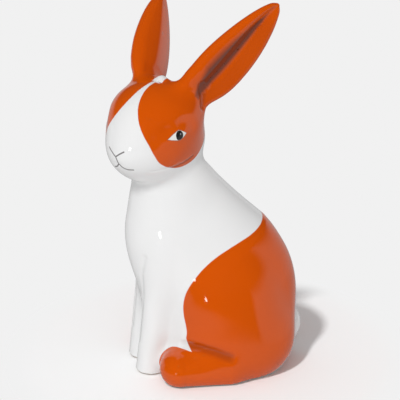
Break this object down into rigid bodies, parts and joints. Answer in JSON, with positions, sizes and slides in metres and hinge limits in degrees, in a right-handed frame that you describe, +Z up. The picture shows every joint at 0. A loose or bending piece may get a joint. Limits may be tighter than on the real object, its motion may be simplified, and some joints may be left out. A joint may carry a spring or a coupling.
{
  "type": "rabbit statuette",
  "caption": "Seated rabbit figure in glazed ceramic with upright ears, its head turned to its left, on a flat underside.",
  "frame": {"origin": "on the ground at the middle of the underside", "axes": "+Z up, -Y the way the rabbit's body faces, +X its left side"},
  "size_m": [0.1662, 0.1645, 0.3003],
  "materials": {
    "glazed_ceramic": "glossy white glaze with bright orange patches and fine grey lines painted under it"
  },
  "bodies": {
    "root": {"rabbit": "glazed_ceramic"}
  },
  "joints": []
}
